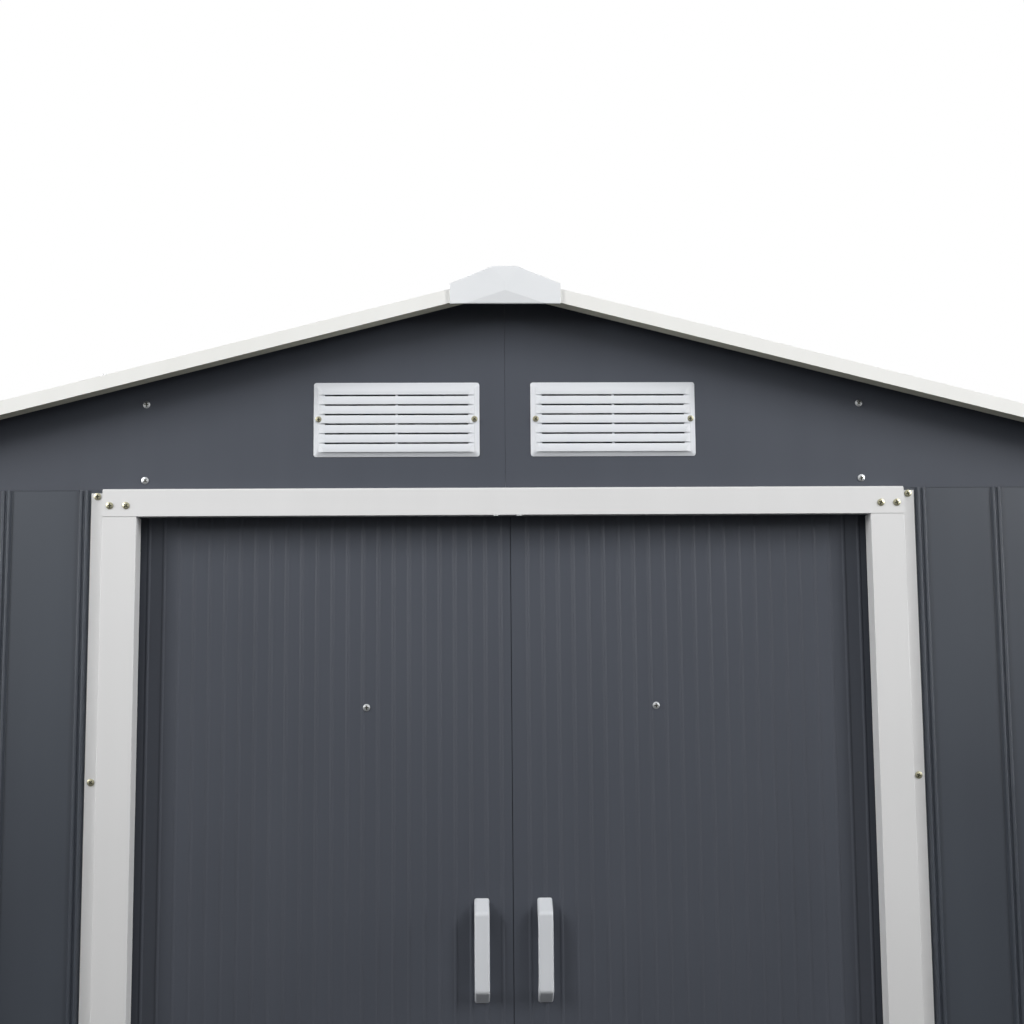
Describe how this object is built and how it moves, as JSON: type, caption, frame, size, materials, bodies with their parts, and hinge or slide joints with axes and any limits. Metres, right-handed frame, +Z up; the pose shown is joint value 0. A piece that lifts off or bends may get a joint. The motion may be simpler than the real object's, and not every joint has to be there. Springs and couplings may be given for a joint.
{
  "type": "metal storage shed",
  "caption": "Gabled sheet-steel garden shed with ribbed walls, white roof and door trims, louvred gable vents and two sliding doors.",
  "frame": {"origin": "on the ground, in the middle of the roof's plan", "axes": "+X to the right along the front, +Y from the doors to the rear wall, +Z up"},
  "size_m": [2.5326, 1.952, 1.9039],
  "materials": {
    "grey_sheet": "satin anthracite coil coating",
    "white_trim": "satin white coil coating",
    "white_plastic": "moulded white plastic",
    "black_plastic": "moulded black nylon",
    "galvanised_rail": "galvanised"
  },
  "bodies": {
    "shed": {"base_rail_front": "galvanised_rail", "base_rail_rear": "galvanised_rail", "base_rails_side": "galvanised_rail", "corner_posts_front": "grey_sheet", "corner_posts_rear": "grey_sheet", "door_header_left": "white_trim", "door_header_right": "white_trim", "door_jamb_left": "white_trim", "door_jamb_right": "white_trim", "door_track": "galvanised_rail", "eave_trims": "white_trim", "front_gable_left": "grey_sheet", "front_gable_right": "grey_sheet", "front_trim_left": "white_trim", "front_trim_right": "white_trim", "front_vents": "white_plastic", "front_wall_left": "grey_sheet", "front_wall_right": "grey_sheet", "left_wall_front": "grey_sheet", "left_wall_rear": "grey_sheet", "mid_rails": "galvanised_rail", "rear_gable_left": "grey_sheet", "rear_gable_right": "grey_sheet", "rear_trims": "white_trim", "rear_vents": "white_plastic", "rear_wall_left": "grey_sheet", "rear_wall_middle": "grey_sheet", "rear_wall_right": "grey_sheet", "ridge_cap": "white_trim", "ridge_end_caps": "white_plastic", "right_wall_front": "grey_sheet", "right_wall_rear": "grey_sheet", "roof_corner_caps": "white_plastic", "roof_left_front": "grey_sheet", "roof_left_rear": "grey_sheet", "roof_purlins": "galvanised_rail", "roof_right_front": "grey_sheet", "roof_right_rear": "grey_sheet", "top_rails": "galvanised_rail"},
    "left_door": {"left_door_braces": "galvanised_rail", "left_door_handle": "white_plastic", "left_door_runners": "black_plastic", "left_door_sheet": "grey_sheet"},
    "right_door": {"right_door_braces": "galvanised_rail", "right_door_handle": "white_plastic", "right_door_runners": "black_plastic", "right_door_sheet": "grey_sheet"}
  },
  "joints": [
    {"name": "left_door_slide", "type": "slide", "parent": "shed", "child": "left_door", "axis": [-1, 0, 0], "range_m": [0, 0.49]},
    {"name": "right_door_slide", "type": "slide", "parent": "shed", "child": "right_door", "axis": [1, 0, 0], "range_m": [0, 0.475]}
  ]
}
